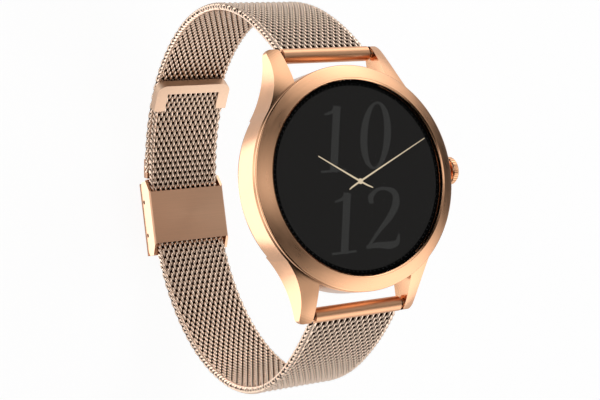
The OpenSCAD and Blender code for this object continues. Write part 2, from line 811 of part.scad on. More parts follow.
// Crimped end of the short strap, with the middle knuckle of the cover's hinge
module strap_end_plate() {
    out_r = short_r + mesh_t + seat;
    in_r = short_r + 0.1;
    nose = 2;
    web = knuckle_r * 0.6;
    neck = short_end - nose / 2;
    color(rose) difference() {
        union() {
            difference() {
                strip(short_c, in_r, out_r + end_skin - in_r, 2 * end_half, short_end - nose, short_end + end_grip);
                strip(short_c, short_r - 1, out_r - short_r + 1, span, short_end - seat, short_end + 2 * end_grip);
            }
            along_x() linear_extrude(2 * (knuckle_split - pass), center = true) polygon([
                short_c + (in_r + 0.2) * dir(neck), short_c + (out_r + end_skin / 2) * dir(neck),
                [cover_y, cover_pin_z - web], [cover_y, cover_pin_z + web]
            ]);
            rod([cover_y, cover_pin_z], knuckle_r, 2 * (knuckle_split - pass));
        }
        rod([cover_y, cover_pin_z], pin_r + seat, span);
    }
}

module cover_pin() {
    color(steel) rod([cover_y, cover_pin_z], pin_r, 2 * knuckle_half);
}

// Outer cover of the clasp: plate, two knuckles, and a hook lip behind the catch pin
module clasp_cover() {
    color(rose) difference() {
        union() {
            translate([-cover_half, cover_end_y, cover_out_z])
                cube([2 * cover_half, cover_y - cover_end_y, cover_t]);
            for (s = [-1, 1]) translate([s * (knuckle_half + knuckle_split) / 2, 0, 0])
                rod([cover_y, cover_pin_z], knuckle_r, knuckle_half - knuckle_split);
            translate([-lever_half, hook_y - hook_t, cover_out_z + cover_t / 2])
                cube([2 * lever_half, hook_t, hook_z - cover_out_z - cover_t / 2]);
        }
        rod([cover_y, cover_pin_z], pin_r + run, span);
        rod([cover_y, cover_pin_z], knuckle_r + pass, 2 * knuckle_split);
    }
}

// Wrist plate and side walls in one bent sheet, with holes for the two pins
module clasp_sleeve() {
    half_wall = wall_len / 2;
    color(rose) difference() {
        union() {
            translate([-wall_out, loop_y - half_plate, plate_z]) cube([2 * wall_out, plate_len, clasp_sheet]);
            for (s = [-1, 1]) translate([s * (wall_in + clasp_sheet / 2), 0, 0])
                along_x() linear_extrude(clasp_sheet, center = true) polygon([
                    [loop_y - half_plate, wrist_z], [loop_y - half_wall, wrist_z - wall_slope],
                    [loop_y - half_wall, wall_z + wall_corner], [loop_y - half_wall + wall_corner, wall_z],
                    [loop_y + half_wall - wall_corner, wall_z], [loop_y + half_wall, wall_z + wall_corner],
                    [loop_y + half_wall, wrist_z - wall_slope], [loop_y + half_plate, wrist_z]
                ]);
        }
        for (y = [lock_y, catch_y]) rod([y, pin_z], pin_r + seat, span);
        for (s = [-1, 1]) translate([s * wall_out, loop_y, wrist_z]) rotate([0, 45, 0])
            cube([sheet_bend * sqrt(2), 2 * wall_len, sheet_bend * sqrt(2)], center = true);
    }
}

module catch_pin() {
    color(rose_dark) rod([catch_y, pin_z], pin_r, 2 * (wall_out - pin_sink));
}

module lock_pin() {
    color(rose_dark) rod([lock_y, pin_z], pin_r, 2 * (wall_out - pin_sink));
}

// Flap that clamps the mesh: it turns on the lock pin and carries a cam
module lock_lever() {
    color(rose_dark) difference() {
        union() {
            rod([lock_y, pin_z], lever_r, 2 * lever_half);
            rod([lock_y, pin_z + cam_rise], cam_r, 2 * lever_half);
            translate([-lever_half, lever_end_y, wall_z]) cube([2 * lever_half, lock_y - lever_end_y, cover_t]);
        }
        rod([lock_y, pin_z], pin_r + run, span);
    }
}

case_middle();
bezel();
bezel_gasket();
cover_glass();
display_panel();
display_flex();
inner_frame();
main_board();
battery();
vibration_motor();
back_cover();
back_gasket();
back_screws();
sensor_window();
sensor_board();
charge_pads();
crown_tube();
crown_switch();
switch_plunger();
crown_knob();
crown_stem();
crown_clip();
crown_seal();
upper_end_tube();
upper_bar_barrel();
upper_bar_spring();
upper_tip_left();
upper_tip_right();
upper_mesh();
strap_end_plate();
cover_pin();
clasp_cover();
lower_end_tube();
lower_bar_barrel();
lower_bar_spring();
lower_tip_left();
lower_tip_right();
lower_mesh();
tail_tip();
clasp_sleeve();
catch_pin();
lock_pin();
lock_lever();
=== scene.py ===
"""Round smartwatch on a woven mesh strap: finishes, weave, display and studio for the frame."""

import json
import math

import bpy
import numpy as np
from mathutils import Matrix, Vector


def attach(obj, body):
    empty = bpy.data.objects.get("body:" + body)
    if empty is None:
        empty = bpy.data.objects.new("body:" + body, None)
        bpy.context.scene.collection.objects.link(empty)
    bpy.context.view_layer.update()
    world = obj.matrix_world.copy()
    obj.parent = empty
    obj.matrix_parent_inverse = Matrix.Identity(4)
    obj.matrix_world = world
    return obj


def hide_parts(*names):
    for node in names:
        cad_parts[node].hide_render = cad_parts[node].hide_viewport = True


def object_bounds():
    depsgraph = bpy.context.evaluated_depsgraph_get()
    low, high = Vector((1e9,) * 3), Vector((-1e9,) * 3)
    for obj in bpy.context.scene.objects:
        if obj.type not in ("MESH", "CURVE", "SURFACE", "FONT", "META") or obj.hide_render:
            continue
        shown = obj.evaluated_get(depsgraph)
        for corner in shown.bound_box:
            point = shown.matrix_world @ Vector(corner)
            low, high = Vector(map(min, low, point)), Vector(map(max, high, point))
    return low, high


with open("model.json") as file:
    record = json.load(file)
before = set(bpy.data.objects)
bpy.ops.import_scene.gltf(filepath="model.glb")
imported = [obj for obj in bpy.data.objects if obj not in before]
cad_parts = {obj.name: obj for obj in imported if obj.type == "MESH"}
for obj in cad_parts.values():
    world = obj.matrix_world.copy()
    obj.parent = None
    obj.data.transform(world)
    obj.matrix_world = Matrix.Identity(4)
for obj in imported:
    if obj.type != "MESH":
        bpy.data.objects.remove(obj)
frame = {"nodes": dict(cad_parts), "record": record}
CAD_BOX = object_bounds()
NODES = frame["nodes"]
MM = 0.001
FULL_TURN = 2 * math.pi
# Corners of a square of half width 1, in order round it
SQUARE = ((-1, -1), (1, -1), (1, 1), (-1, 1))

# Sizes of the watch in millimetres, as in the part's source.
# +X is at the crown, +Y at 12 o'clock and +Z out of the dial.
CASE_R = 19.95
CASE_T = 9.8
BEZEL_W = 2.85
GLASS_R = CASE_R - BEZEL_W
GLASS_T = 1.25
GLASS_PROUD = 0.08
GLASS_SEAT_Z = CASE_T - GLASS_T
BEZEL_DROP = 1.32
BEZEL_LIP = 0.45
BEZEL_TOP_Z = CASE_T - GLASS_PROUD
BEZEL_EDGE_Z = BEZEL_TOP_Z - BEZEL_DROP
BEZEL_FOOT_Z = BEZEL_EDGE_Z - BEZEL_LIP
SPIGOT_IN = 1.55
SPIGOT_LEN = 0.95
SPIGOT_R = CASE_R - SPIGOT_IN
SPIGOT_Z = BEZEL_FOOT_Z - SPIGOT_LEN
GLASS_LEDGE = 0.65
BEZEL_IN_R = GLASS_R - GLASS_LEDGE
LUG_GAP = 19.0
BAR_GAP = 2.95
BAR_REACH = CASE_R + BAR_GAP
BAR_Z = 2.3
MESH_T = 1.5
MESH_PLAY = 0.9
MESH_W = LUG_GAP - MESH_PLAY
MESH_W_END = 16.4
TAPER_UNDER_BAR = 6
TAPER_UNDER_LOOP = 13
TAPER_START_Z = BAR_Z - TAPER_UNDER_BAR
LOOP_R = 36.4
LOOP_Y = 0.3
SHOULDER_R = 60.0
SHOULDER_OUT = 1.49
TAIL_ANGLE = 42.0
TAIL_GAP = 0.2
TAIL_CORNER_R = 1.9
SHORT_SHIFT = np.array([-0.8, -1.0])
SHORT_END_Y = 10.6
TUBE_R = 1.35

# The weave, in millimetres: flattened wire coils across the strap, each hooked into the next
COIL_PITCH = 1.2
ROW_PITCH = 1.17
WIRE_R = 0.31
WIRE_SIDES = 6
COIL_HALF_S = 0.88
COIL_HALF_N = MESH_T / 2 - WIRE_R
COIL_POINTS = 16
# How far the wire holds back from stepping across, on the outer and on the inner face
OUTER_HOLD = 0.9
INNER_HOLD = 1.5
# Power of the rise out of the mid-plane: below 1, the coil's faces are flatter than an ellipse
FACE_FLAT = 0.7
# Turns past the strap's edge, pressed flat against it to close the coil
CLOSING_TURN = 0.75
# Width of the strap's edge that the painted shade between the strands leaves out
EDGE_UNSHADED = 0.5
TIP_CLEARANCE = 0.3
FIRST_ROW = TUBE_R + COIL_HALF_S / 2 + TIP_CLEARANCE

# The sheet of painted shade inside the weave, in millimetres
CORE_HALF_T = 0.45
CORE_RIM = 1.2
CORE_IN_TUBE = 0.5
CORE_SHORT = 0.8
CORE_STATIONS = 90

# Camera, fitted to the photograph: place in millimetres and two axes of its view, lens and sensor
# in millimetres, and in metres how near it sees
CAMERA_AT = Vector((-121.07, -13.572, 203.192))
CAMERA_RIGHT = Vector((0.868823, -0.122710, 0.479676))
CAMERA_DOWN = Vector((-0.084106, -0.991299, -0.101255))
CAMERA_LENS = 78.94
CAMERA_SENSOR = 36.0
CAMERA_CLIP = 0.005


def unit(angle):
    """Unit vector at an angle in degrees, in the YZ plane of the strap's loop."""
    return np.array([math.cos(math.radians(angle)), math.sin(math.radians(angle))])


def angle_of(v):
    """Angle of a vector in that plane, in degrees."""
    return math.degrees(math.atan2(v[1], v[0]))


# Materials

ROSE = (0.85, 0.465, 0.265)
CLASP_ROSE = (0.8, 0.47, 0.3)
CLIP_ROSE = (0.86, 0.6, 0.43)
WIRE_ROSE = (0.98, 0.75, 0.59)
# Painted shade: the colour of the wire down between the strands
WIRE_PAINTED_SHADE = (0.035, 0.011, 0.003)
# Shares of the full height out of the strap's mid-plane over which the painted shade on the wire
# fades into its own colour
WIRE_SHADE_FADE = (0.52, 0.85)
# Painted shade: colour of the nearly black sheet inside the weave, seen through its gaps
CORE_SHADE = (0.012, 0.004, 0.0015)
STEEL = (0.62, 0.61, 0.59)
FOIL = (0.5, 0.51, 0.53)
GILT = (0.8, 0.58, 0.22)
GLASS_TONES = ((0.89, 0.89, 0.89), (0.9, 0.9, 0.9))
SENSOR_TONES = ((0.018, 0.019, 0.021), (0.02, 0.021, 0.023))
NOISE_DETAIL = 3.0
RAMP_STOPS = (0.35, 0.65)
BUMP_DISTANCE = 0.00002
MOULD_SPREAD = 0.06
BLACK = (0, 0, 0)
PIXEL_SCALE = 1500
PIXEL_LEVELS = (0.96, 1.04)
# Sockets of a Mix node for colours, which share their names with those for numbers
MIX_FACTOR, MIX_A, MIX_B, MIX_RESULT = 0, 6, 7, 2


def node_material(name, color, roughness, **sockets):
    """Principled material with constant sockets; returns the material and its shader node."""
    mat = bpy.data.materials.new(name)
    mat.use_nodes = True
    shader = mat.node_tree.nodes["Principled BSDF"]
    shader.inputs["Base Color"].default_value = (*color, 1)
    shader.inputs["Roughness"].default_value = roughness
    for key, value in sockets.items():
        shader.inputs[key.replace("_", " ")].default_value = value
    return mat, shader


def add(owner, kind, **values):
    """New node; values named in_N go to the socket N, others are properties of the node."""
    node = owner.node_tree.nodes.new(kind)
    for key, value in values.items():
        if key.startswith("in_"):
            node.inputs[key[3:].replace("_", " ")].default_value = value
        else:
            setattr(node, key, value)
    return node


def join(owner, source, target):
    """Link from an output socket to an input socket."""
    owner.node_tree.links.new(source, target)


def ranged(owner, value, span=(0.0, 1.0), to=(0.0, 1.0), interpolation="LINEAR"):
    """Socket with a value mapped from one range to another."""
    node = add(owner, "ShaderNodeMapRange", interpolation_type=interpolation,
               in_From_Min=span[0], in_From_Max=span[1], in_To_Min=to[0], in_To_Max=to[1])
    join(owner, value, node.inputs["Value"])
    return node.outputs["Result"]


def scaled_coords(mat, scale):
    """Object coordinates, stretched per axis."""
    coords = add(mat, "ShaderNodeTexCoord")
    mapping = add(mat, "ShaderNodeMapping", in_Scale=scale)
    join(mat, coords.outputs["Object"], mapping.inputs["Vector"])
    return mapping.outputs["Vector"]


def vary(mat, shader, grain, colors, rough, bump=0.0):
    """Noise that drives base colour and roughness between two values each, and a fine bump."""
    noise = add(mat, "ShaderNodeTexNoise", in_Scale=1.0, in_Detail=NOISE_DETAIL)
    join(mat, scaled_coords(mat, grain), noise.inputs["Vector"])
    ramp = add(mat, "ShaderNodeValToRGB")
    for stop, color, place in zip(ramp.color_ramp.elements, colors, RAMP_STOPS):
        stop.color = (*color, 1)
        stop.position = place
    join(mat, noise.outputs["Fac"], ramp.inputs["Fac"])
    join(mat, ramp.outputs["Color"], shader.inputs["Base Color"])
    join(mat, ranged(mat, noise.outputs["Fac"], to=rough), shader.inputs["Roughness"])
    if bump:
        relief = add(mat, "ShaderNodeBump", in_Strength=bump, in_Distance=BUMP_DISTANCE)
        join(mat, noise.outputs["Fac"], relief.inputs["Height"])
        join(mat, relief.outputs["Normal"], shader.inputs["Normal"])


def even(scale):
    """Grain of one scale along all three axes."""
    return (scale, scale, scale)


def shade(color, share):
    """Darker or lighter tone of a colour."""
    return tuple(share * c for c in color)


def grained(name, base, roughness, grain, tones, rough, bump=0.0, **sockets):
    """Material with a grain; its tones are shares of the base colour."""
    mat, shader = node_material(name, base, roughness, **sockets)
    vary(mat, shader, grain, [shade(base, tone) for tone in tones], rough, bump)
    return mat, shader


def metal(name, base, **look):
    """Grained material that is metal."""
    return grained(name, base, Metallic=1.0, **look)


def polished_rose():
    """Mirror finish, a little uneven."""
    return metal("polished_rose", ROSE, roughness=0.16, grain=even(400),
                 tones=(0.97, 1.0), rough=(0.13, 0.2), bump=0.02)[0]


def satin_rose():
    """Turned finish: fine rings round the dial's axis, stretched highlights."""
    mat, shader = metal("satin_rose", ROSE, roughness=0.3, grain=(300, 300, 2500),
                        tones=(0.94, 1.0), rough=(0.24, 0.34), Anisotropic=0.55)
    tangent = add(mat, "ShaderNodeTangent", direction_type="RADIAL", axis="Z")
    join(mat, tangent.outputs["Tangent"], shader.inputs["Tangent"])
    return mat


def brushed_rose():
    """Sheet of the clasp, brushed across the strap."""
    return metal("brushed_rose", CLASP_ROSE, roughness=0.36, grain=(120, 6000, 6000),
                 tones=(0.97, 1.02), rough=(0.33, 0.39), bump=0.02, Anisotropic=0.4)[0]


def drawn_rose():
    """Tubes drawn along the bar: soft highlights that spread round the tube."""
    return metal("drawn_rose", ROSE, roughness=0.4, grain=(200, 5000, 5000),
                 tones=(0.95, 1.0), rough=(0.36, 0.44), bump=0.03)[0]


def blasted_rose():
    """Fine matt finish of the tail's end clip."""
    return metal("blasted_rose", CLIP_ROSE, roughness=0.45, grain=even(2500),
                 tones=(0.95, 1.0), rough=(0.4, 0.5), bump=0.08)[0]


def wire_rose():
    """Wire of the mesh with painted shade: its own colour on the crests and at the strap's edge,
    painted dark down between the strands.
    """
    mat, shader = metal("wire_rose", WIRE_ROSE, roughness=0.22, grain=even(900),
                        tones=(0.92, 1.0), rough=(0.17, 0.26), bump=0.03)
    bright = shader.inputs["Base Color"].links[0].from_socket
    # Painted shade: the wire turns dark as it sinks toward the strap's mid-plane, except at the
    # strap's edge
    crown = add(mat, "ShaderNodeAttribute", attribute_name="crown")
    unshaded_mix = ranged(mat, crown.outputs["Fac"], span=WIRE_SHADE_FADE, interpolation="SMOOTHSTEP")
    mix = add(mat, "ShaderNodeMix", data_type="RGBA")
    mix.inputs[MIX_A].default_value = (*WIRE_PAINTED_SHADE, 1)
    join(mat, unshaded_mix, mix.inputs[MIX_FACTOR])
    join(mat, bright, mix.inputs[MIX_B])
    join(mat, mix.outputs[MIX_RESULT], shader.inputs["Base Color"])
    return mat


def painted_shade_core():
    """Painted shade between the strands: nearly black, without any gloss."""
    return grained("painted_shade_core", CORE_SHADE, roughness=0.8, grain=even(800),
                   tones=(0.6, 1.0), rough=(0.7, 0.9), Specular_IOR_Level=0.0)[0]


def plain_steel():
    """Drawn and turned steel of the small inner pieces."""
    return metal("plain_steel", STEEL, roughness=0.3, grain=(150, 3000, 3000),
                 tones=(0.93, 1.0), rough=(0.24, 0.36), bump=0.03)[0]


def moulded(name, base, roughness):
    """Plastic or rubber with a fine moulded grain."""
    rough = (roughness - MOULD_SPREAD, roughness + MOULD_SPREAD)
    return grained(name, base, roughness=roughness, grain=even(1500),
                   tones=(0.85, 1.0), rough=rough, bump=0.05)[0]


def gilt():
    """Gold plate of the charging pads."""
    return metal("gilt", GILT, roughness=0.22, grain=even(700),
                 tones=(0.92, 1.0), rough=(0.18, 0.28))[0]


def foil():
    """Crumpled foil of the battery's pouch."""
    return metal("foil", FOIL, roughness=0.35, grain=even(250),
                 tones=(0.85, 1.0), rough=(0.28, 0.45), bump=0.2)[0]


def clear_glass():
    """Cover glass; its index is set far below real glass, so that it hardly reflects."""
    mat, shader = node_material("cover_glass", GLASS_TONES[1], roughness=0.02,
                                IOR=1.05, Transmission_Weight=1.0)
    vary(mat, shader, grain=even(300), colors=GLASS_TONES, rough=(0.015, 0.025))
    return mat


def tinted_glass():
    """Dark window over the sensors."""
    mat, shader = node_material("sensor_glass", SENSOR_TONES[1], roughness=0.05,
                                IOR=1.5, Coat_Weight=0.6)
    vary(mat, shader, grain=even(400), colors=SENSOR_TONES, rough=(0.04, 0.07))
    return mat


def lit(name, color):
    """Light of a display: what shows through the glass gives its own colour, grained by pixels."""
    mat, shader = node_material(name, BLACK, roughness=0.6,
                                Specular_IOR_Level=0.0, Emission_Color=(*color, 1))
    coords = add(mat, "ShaderNodeTexCoord")
    pixels = add(mat, "ShaderNodeTexNoise", in_Scale=PIXEL_SCALE)
    join(mat, coords.outputs["Object"], pixels.inputs["Vector"])
    level = ranged(mat, pixels.outputs["Fac"], to=PIXEL_LEVELS)
    join(mat, level, shader.inputs["Emission Strength"])
    return mat


MATERIALS = {
    "rose_polished": polished_rose(),
    "rose_turned": satin_rose(),
    "rose_satin": brushed_rose(),
    "rose_drawn": drawn_rose(),
    "rose_blasted": blasted_rose(),
    "rose_mesh": wire_rose(),
    "core": painted_shade_core(),
    "steel": plain_steel(),
    "glass": clear_glass(),
    "sensor_glass": tinted_glass(),
    "display": lit("display_black", (0.0165, 0.016, 0.0155)),
    "seal": moulded("seal", (0.02, 0.02, 0.02), roughness=0.7),
    "black_plastic": moulded("black_plastic", (0.03, 0.03, 0.032), roughness=0.5),
    "board": moulded("board", (0.02, 0.13, 0.06), roughness=0.4),
    "flex": moulded("flex", (0.35, 0.16, 0.03), roughness=0.35),
    "pouch": foil(),
    "gilt": gilt(),
}


def paint(obj, material):
    """One material for a whole object, by its name in the table or as it is."""
    obj.data.materials.clear()
    obj.data.materials.append(MATERIALS[material] if isinstance(material, str) else material)


# Mesh helpers


def new_object(name, verts, faces, material, body, smooth_angle=35.0):
    """Mesh object in the row frame, from points in millimetres, riding on a body."""
    mesh = bpy.data.meshes.new(name)
    mesh.from_pydata([tuple(MM * c for c in v) for v in verts], [], faces)
    mesh.validate()
    mesh.update()
    mesh.shade_smooth()
    if smooth_angle is not None:
        mesh.set_sharp_from_angle(angle=math.radians(smooth_angle))
    obj = bpy.data.objects.new(name, mesh)
    bpy.context.scene.collection.objects.link(obj)
    paint(obj, material)
    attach(obj, body)
    return obj


def circle(centre, radius, segments):
    """Points evenly round a circle."""
    angles = [FULL_TURN * i / segments for i in range(segments)]
    return [(centre[0] + radius * math.cos(a), centre[1] + radius * math.sin(a)) for a in angles]


def merged(shapes):
    """Several shapes as one list of points and one of faces."""
    verts, faces = [], []
    for v, f in shapes:
        base = len(verts)
        verts += v
        faces += [tuple(base + k for k in face) for face in f]
    return verts, faces


# Strap


class StrapPath:
    """Middle line of a strap in the YZ plane: a flatter stretch from the bar, then the circle."""

    def __init__(self, bar, centre, radius, end_angle, turn):
        self.turn = turn
        arm = np.array(bar) - centre
        reach = radius - SHOULDER_R
        cosine = (arm @ arm + reach**2 - SHOULDER_R**2) / (2 * reach * np.linalg.norm(arm))
        self.meet = angle_of(arm) + turn * math.degrees(math.acos(cosine))
        self.flat_centre = centre + reach * unit(self.meet)
        self.flat_start = angle_of(np.array(bar) - self.flat_centre)
        self.centre, self.radius = centre, radius
        self.flat_len = abs(math.radians(self.meet - self.flat_start)) * SHOULDER_R
        self.length = self.flat_len + abs(math.radians(end_angle - self.meet)) * radius

    def at(self, s):
        """Point and outward normal at a distance along the middle line."""
        if s < self.flat_len:
            out = unit(self.flat_start + self.turn * math.degrees(s / SHOULDER_R))
            return self.flat_centre + SHOULDER_R * out, out
        out = unit(self.meet + self.turn * math.degrees((s - self.flat_len) / self.radius))
        return self.centre + self.radius * out, out


def strap_paths():
    """Paths of the short strap at 12 o'clock and the long one at 6, and the loop's centre."""
    half = MESH_T / 2
    drop = math.sqrt((LOOP_R + half + SHOULDER_OUT) ** 2 - (BAR_REACH + LOOP_Y) ** 2)
    loop_c = np.array([LOOP_Y, BAR_Z - drop])
    short_c = loop_c + SHORT_SHIFT
    short_r = LOOP_R + MESH_T + TAIL_GAP - SHORT_SHIFT @ unit(-TAIL_ANGLE)
    short_end = -math.degrees(math.acos((SHORT_END_Y - short_c[0]) / (short_r + half)))
    upper = StrapPath((BAR_REACH, BAR_Z), short_c, short_r + half, short_end, turn=-1)
    lower = StrapPath((-BAR_REACH, BAR_Z), loop_c, LOOP_R + half, 360 - TAIL_ANGLE, turn=1)
    return upper, lower, loop_c


UPPER_PATH, LOWER_PATH, LOOP_C = strap_paths()
TAPER_END_Z = LOOP_C[1] - TAPER_UNDER_LOOP


def mesh_half_width(z):
    """Half the strap's width at a height: full at the lugs, narrower at the clasp."""
    share = min(max((TAPER_START_Z - z) / (TAPER_START_Z - TAPER_END_Z), 0), 1)
    return (MESH_W + share * (MESH_W_END - MESH_W)) / 2


def coil_points(path, s_mid, half_w, odd):
    """One flattened coil across the strap, at its row's place on the path.

    The wire runs along the strap on each face and steps across at the folds, and each end closes
    in a ring that slips behind the next. Returns four arrays, point by point: the wire's centre
    line, the direction out of the coil's axis, the height over the strap's mid-plane and the
    strap's outward normal.
    """
    reach = half_w - WIRE_R
    phase = 0.5 if odd else 0.0
    first = math.ceil((-reach / COIL_PITCH - CLOSING_TURN) * COIL_POINTS)
    last = math.floor((reach / COIL_PITCH + CLOSING_TURN) * COIL_POINTS)
    points, outs, heights, normals = [], [], [], []
    for turn in np.arange(first, last + 1) / COIL_POINTS:
        t = FULL_TURN * (turn + phase)
        hold = OUTER_HOLD if math.sin(t) > 0 else INNER_HOLD
        x = COIL_PITCH * (turn + hold * math.sin(2 * t) / (4 * math.pi))
        place, out = path.at(s_mid + COIL_HALF_S * math.cos(t))
        rise = math.copysign(abs(math.sin(t)) ** FACE_FLAT, math.sin(t))
        y, z = place + COIL_HALF_N * rise * out
        limit = reach - WIRE_R * (1 - math.cos(t))
        points.append((min(max(x, -limit), limit), y, z))
        along = path.turn * np.array([-out[1], out[0]])
        radial = math.cos(t) * along + math.sin(t) * out
        outs.append((0.0, radial[0], radial[1]))
        heights.append(COIL_HALF_N * rise)
        normals.append((0.0, out[0], out[1]))
    return np.array(points), np.array(outs), np.array(heights), np.array(normals)


def tube_rings(points, outs):
    """Rings of a round wire along a line, turned so that no ring twists against the next."""
    tangent = np.gradient(points, axis=0)
    tangent /= np.linalg.norm(tangent, axis=1)[:, None]
    side = outs - (outs * tangent).sum(1)[:, None] * tangent
    side /= np.linalg.norm(side, axis=1)[:, None]
    third = np.cross(tangent, side)
    angles = FULL_TURN * np.arange(WIRE_SIDES) / WIRE_SIDES
    cosine, sine = np.cos(angles)[None, :, None], np.sin(angles)[None, :, None]
    ring = cosine * side[:, None] + sine * third[:, None]
    return points[:, None] + WIRE_R * ring


def tube_faces(start, rings):
    """Quads round a tube of so many rings, and its two end caps."""
    faces = []
    for i in range(rings - 1):
        a = start + i * WIRE_SIDES
        for j in range(WIRE_SIDES):
            k = (j + 1) % WIRE_SIDES
            faces.append((a + j, a + k, a + k + WIRE_SIDES, a + j + WIRE_SIDES))
    faces.append(tuple(start + j for j in reversed(range(WIRE_SIDES))))
    end = start + (rings - 1) * WIRE_SIDES
    faces.append(tuple(end + j for j in range(WIRE_SIDES)))
    return faces


def weave(name, path, first_row, last_row, body, shorten):
    """One piece of woven mesh: the rows of coils from one number to another.

    The attribute "crown" tells the material how far a point of the wire is kept out of the painted
    shade
    that darkens it between the strands: by its height out of the strap's mid-plane, and fully at
    the strap's edge.
    """
    verts, faces, crown = [], [], []
    for row in range(first_row, last_row):
        s_mid = FIRST_ROW + row * ROW_PITCH
        half_w = mesh_half_width(path.at(s_mid)[0][1]) - shorten(s_mid)
        points, outs, heights, normals = coil_points(path, s_mid, half_w, row % 2)
        rings = tube_rings(points, outs)
        # Share of each point kept out of the painted shade between the strands
        height = heights[:, None] + ((rings - points[:, None]) * normals[:, None]).sum(2)
        edge = np.clip((np.abs(rings[..., 0]) - half_w + EDGE_UNSHADED) / WIRE_R, 0, 1)
        crown += np.maximum(np.abs(height) / (COIL_HALF_N + WIRE_R), edge).ravel().tolist()
        faces += tube_faces(len(verts), len(points))
        verts += rings.reshape(-1, 3).tolist()
    piece = new_object(name, verts, faces, "rose_mesh", body, smooth_angle=None)
    for face in piece.data.polygons:
        face.use_smooth = len(face.vertices) == 4
    piece.data.attributes.new("crown", "FLOAT", "POINT").data.foreach_set("value", crown)


def weave_core_ribbon(name, path, body):
    """Sheet of painted shade inside the weave, seen through its gaps."""
    verts, faces = [], []
    for s in np.linspace(TUBE_R - CORE_IN_TUBE, path.length - CORE_SHORT, CORE_STATIONS):
        place, out = path.at(s)
        half_w = mesh_half_width(place[1]) - CORE_RIM
        for side, face in SQUARE:
            y, z = place + face * CORE_HALF_T * out
            verts.append((side * half_w, y, z))
    n = len(SQUARE)
    last = n * (CORE_STATIONS - 1)
    for a in range(0, last, n):
        faces += [(a + j, a + (j + 1) % n, a + n + (j + 1) % n, a + n + j) for j in range(n)]
    faces += [tuple(reversed(range(n))), tuple(last + j for j in range(n))]
    piece = new_object(name, verts, faces, "core", body)
    return piece


def rows_of(path):
    """How many rows of coils a strap has."""
    return int((path.length - FIRST_ROW - COIL_HALF_S) / ROW_PITCH) + 1


def tail_round(s):
    """How far the tail's rounded end takes the coils in, at a distance along the long strap."""
    r = TAIL_CORNER_R
    left = LOWER_PATH.length - s
    return 0.0 if left > r else r - math.sqrt(max(r * r - (r - left) ** 2, 0))


def make_straps():
    """Both straps, each as a dark sheet of painted shade in place of the solid and some pieces of
    weave round it.
    """
    for name, path, body, parts, shorten in (
        ("upper_mesh", UPPER_PATH, "upper_strap", 2, lambda s: 0.0),
        ("lower_mesh", LOWER_PATH, "lower_strap", 3, tail_round),
    ):
        core = weave_core_ribbon(f"{name}_core", path, body)
        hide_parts(name)
        cuts = np.linspace(0, rows_of(path), parts + 1).astype(int)
        for i in range(parts):
            weave(f"{name}_weave_{i + 1}", path, cuts[i], cuts[i + 1], body, shorten)


# Display, in millimetres

LAYER_LIFT = 0.05
LAYER_STEP = 0.04
FACE_INSET = 0.05
FACE_R = GLASS_R - FACE_INSET
FACE_SEGMENTS = 128
DIAL = (0, 0)
BORDER_R = 16.2
BORDER_SEGMENTS = 180
TICKS = 120
TICK_SPAN = (16.35, 16.55)
TICK_W = 0.12
HUB = (0.2, -0.7)
HUB_R = 0.5
HUB_SEGMENTS = 24
# Hands: tail, hub and tip, with the width at each
LONG_HAND = [(-2.2, -1.95), HUB, (14.8, 6.0)], [0.18, 0.32, 0.13]
SHORT_HAND = [(2.6, -2.0), HUB, (-7.6, 4.25)], [0.18, 0.34, 0.16]
# Numerals: run to the right for each step up, and the widths of their strokes
SLANT = 0.2
STEM_WIDTHS = [1.5, 1.45, 1.5]
FLAG_WIDTHS = [0.5, 0.55, 0.3]
SERIF_HALF = 2.5
SERIF_LIFT = 0.2
SERIF_W = 0.4
ZERO_SIDE = 1.45
ZERO_HAIRLINE = 0.4
ZERO_SEGMENTS = 48
BOWL_WIDTHS = [0.9, 1.1, 0.6, 0.55, 1.2, 1.5, 1.2, 0.7, 0.5]
FOOT_WIDTHS = [0.6, 1.0, 1.35, 1.0, 0.3]
DISPLAY_COLORS = {
    "numeral": (0.037, 0.037, 0.036),
    "border": (0.0012, 0.0012, 0.0012),
    "tick": (0.03, 0.031, 0.033),
    "hand": (0.72, 0.6, 0.42),
}


def flat_piece(name, verts, faces, layer, material):
    """Flat piece of the display on one of its layers, just inside the bonded glass."""
    z = GLASS_SEAT_Z + LAYER_LIFT + LAYER_STEP * layer
    piece = new_object(name, [(x, y, z) for x, y in verts], faces, material, "case")


def flat_disc(name, centre, radius, segments, layer, material):
    """Round flat piece of the display."""
    verts = circle(centre, radius, segments)
    flat_piece(name, verts, [tuple(range(segments))], layer, material)


def flat_ring(name, r_in, r_out, layer, material):
    """Flat ring of the display, round the dial's axis."""
    n = BORDER_SEGMENTS
    verts = [*circle(DIAL, r_in, n), *circle(DIAL, r_out, n)]
    faces = [(i, i + n, (i + 1) % n + n, (i + 1) % n) for i in range(n)]
    flat_piece(name, verts, faces, layer, material)


def ribbon(points, widths, steps=10):
    """Flat stroke of changing width along a smooth line through the points."""
    pts = np.array([2 * np.array(points[0]) - np.array(points[1]), *points,
                    2 * np.array(points[-1]) - np.array(points[-2])], float)
    wid = np.array([widths[0], *widths, widths[-1]], float)
    line, half = [], []
    for i in range(1, len(pts) - 2):
        for t in np.linspace(0, 1, steps, endpoint=i == len(pts) - 3):
            p0, p1, p2, p3 = pts[i - 1 : i + 3]
            line.append(0.5 * (2 * p1 + (p2 - p0) * t + (2 * p0 - 5 * p1 + 4 * p2 - p3) * t**2
                               + (3 * p1 - p0 - 3 * p2 + p3) * t**3))
            half.append(((1 - t) * wid[i] + t * wid[i + 1]) / 2)
    line, half = np.array(line), np.array(half)
    along = np.gradient(line, axis=0)
    along /= np.linalg.norm(along, axis=1)[:, None]
    side = np.stack([-along[:, 1], along[:, 0]], 1) * half[:, None]
    verts = [*map(tuple, line - side), *map(tuple, line + side)]
    n = len(line)
    return verts, [(i, i + 1, n + i + 1, n + i) for i in range(n - 1)]


